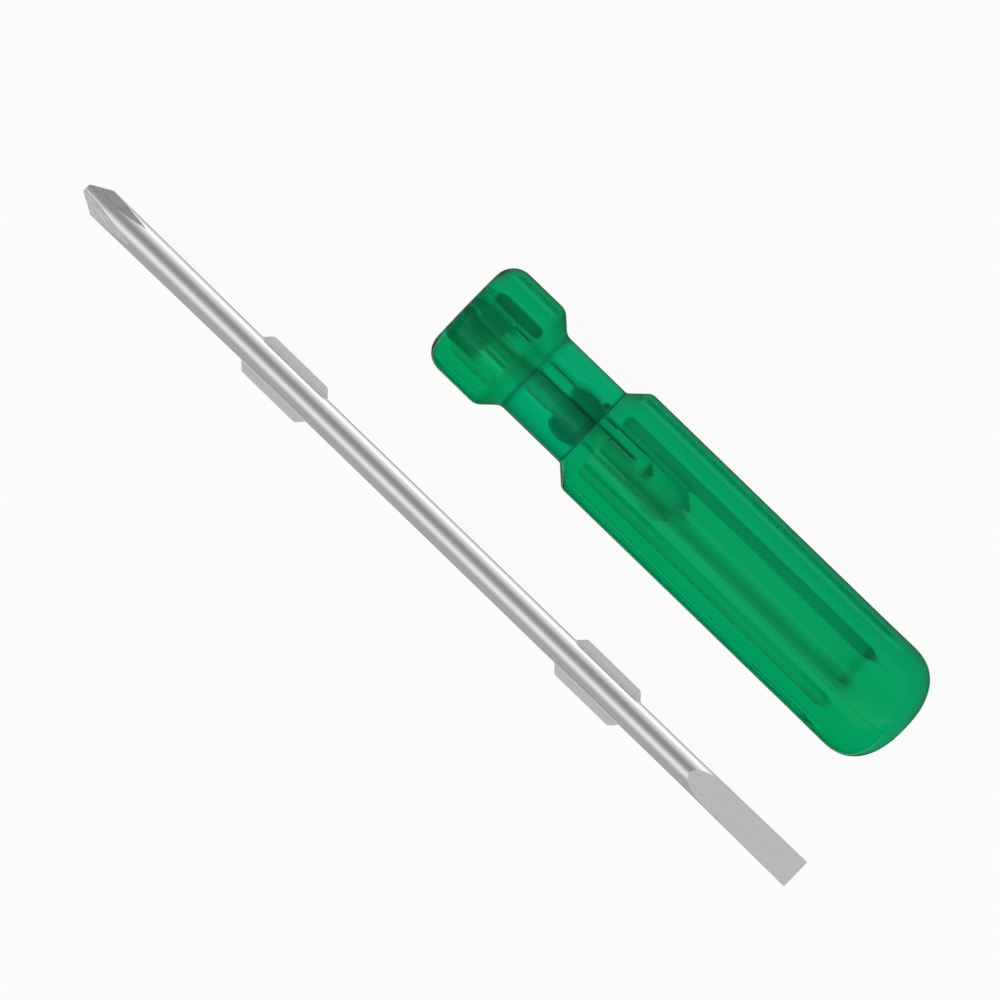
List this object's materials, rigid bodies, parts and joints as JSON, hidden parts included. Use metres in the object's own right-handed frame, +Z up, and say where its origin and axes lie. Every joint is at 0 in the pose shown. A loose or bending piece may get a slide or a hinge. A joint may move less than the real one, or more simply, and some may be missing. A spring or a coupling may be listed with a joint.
{
  "type": "reversible screwdriver",
  "caption": "Reversible screwdriver taken apart: a fluted clear handle with a winged socket and, lying beside it, a winged blade with a cross point at one end and a flat tip at the other.",
  "frame": {"origin": "bottom centre of the box round both pieces, on the plane that they lie on; in x it is the middle of the blade", "axes": "+X along both pieces, from the handle's socket to its domed end and from the blade's cross point to its flat tip; +Y from the blade to the handle; +Z up from the plane"},
  "size_m": [0.1914, 0.0522, 0.0255],
  "materials": {
    "handle_plastic": "clear green moulded plastic, polished",
    "bush_rubber": "dark brown rubber",
    "blade_steel": "chrome-plated steel with matt wings and ground tips"
  },
  "bodies": {
    "handle": {"handle": "handle_plastic", "grip_bush": "bush_rubber"},
    "blade": {"blade": "blade_steel"}
  },
  "joints": [
    {"name": "blade_slide", "type": "slide", "parent": "handle", "child": "blade", "axis": [-1, 0, 0], "range_m": [0, 0.125]}
  ]
}
